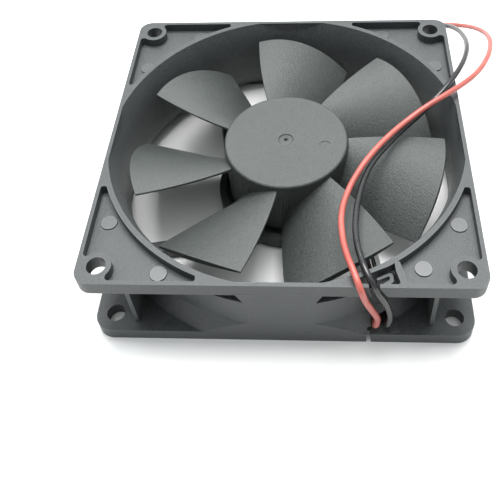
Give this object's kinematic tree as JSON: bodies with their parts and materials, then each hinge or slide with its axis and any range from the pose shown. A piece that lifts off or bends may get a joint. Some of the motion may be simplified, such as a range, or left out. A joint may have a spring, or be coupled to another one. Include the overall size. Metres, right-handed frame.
{
  "type": "case fan",
  "caption": "Square axial case fan with a seven-blade impeller on a hub motor, two moulded flanges with screw holes, and a red and a black lead.",
  "frame": {"origin": "centre of the outlet face, the face with the struts, that the fan lies on", "axes": "+Z along the rotor's axis towards the inlet and the hub's face, -Y towards the side where the leads come out"},
  "size_m": [0.1069, 0.1216, 0.0282],
  "materials": {
    "black_plastic": "satin, fine spark-eroded grain",
    "rotor_plastic": "satin, fine grain",
    "steel": "bright",
    "magnet": "matte",
    "brass": "turned",
    "bronze": "oiled sintered",
    "laminate": "satin",
    "nylon": "natural",
    "copper": "enamelled",
    "board": "solder mask",
    "chip": "moulded epoxy",
    "label": "plain printed film, blank",
    "red_pvc": "soft gloss",
    "black_pvc": "soft gloss"
  },
  "bodies": {
    "frame": {"fan_frame": "black_plastic", "bearing_cap": "rotor_plastic", "rear_label": "label", "sleeve_bearing": "bronze", "circuit_board": "board", "hall_sensor": "chip", "driver_chip": "chip", "capacitor": "nylon", "polarity_diode": "chip", "winding_pin_1": "steel", "winding_pin_2": "steel", "winding_pin_3": "steel", "lower_insulator": "nylon", "stator_core": "laminate", "upper_insulator": "nylon", "winding_1": "copper", "winding_2": "copper", "winding_3": "copper", "winding_4": "copper", "red_lead_inner": "red_pvc", "black_lead_inner": "black_pvc", "red_lead": "red_pvc", "black_lead": "black_pvc", "red_lead_coil": "red_pvc", "black_lead_coil": "black_pvc", "red_lead_tail": "red_pvc", "black_lead_tail": "black_pvc", "lead_tie": "nylon", "connector_housing": "nylon", "contact_1": "steel", "contact_2": "steel"},
    "rotor": {"impeller": "rotor_plastic", "rotor_yoke": "steel", "magnet_ring": "magnet", "shaft_boss": "brass", "shaft": "steel", "upper_washer": "nylon", "lower_washer": "nylon", "retaining_clip": "steel"}
  },
  "joints": [
    {"name": "rotor_spin", "type": "hinge", "parent": "frame", "child": "rotor", "pos_m": [0, 0, 0.0125], "axis": [0, 0, 1], "continuous": true}
  ]
}
